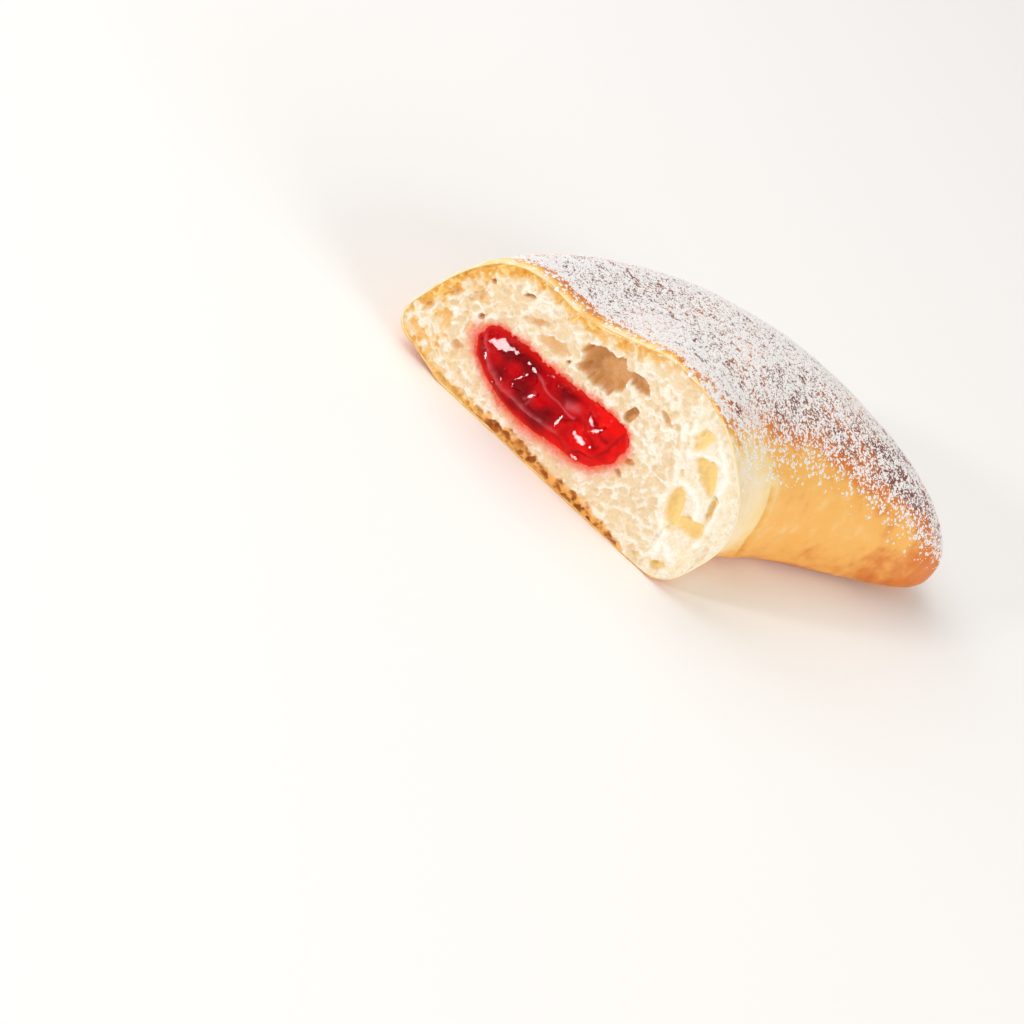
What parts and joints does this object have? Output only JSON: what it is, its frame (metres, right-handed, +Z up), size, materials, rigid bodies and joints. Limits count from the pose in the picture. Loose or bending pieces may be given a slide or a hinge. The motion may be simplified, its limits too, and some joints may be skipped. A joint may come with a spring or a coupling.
{
  "type": "half jam-filled yeast bun",
  "caption": "Half of a crescent-shaped yeast bun, cut across, with pale open crumb and a red jam filling, lying on its flat baked base.",
  "frame": {"origin": "under the middle of the half bun's bounding box, on the plane that its baked base rests on", "axes": "+Z up from the base, -Y out of the cut face, +X towards the tip, so that the body runs back from the cut and bends to +X"},
  "size_m": [0.1124, 0.0848, 0.0388],
  "materials": {
    "crust": "golden baked crust with icing sugar, soft satin",
    "crumb": "pale cream open crumb, matt",
    "icing_sugar": "fine white powder, matt",
    "jam": "glossy red jam, slightly translucent"
  },
  "bodies": {
    "root": {"bread_half": "crust", "jam_filling": "jam"}
  },
  "joints": []
}
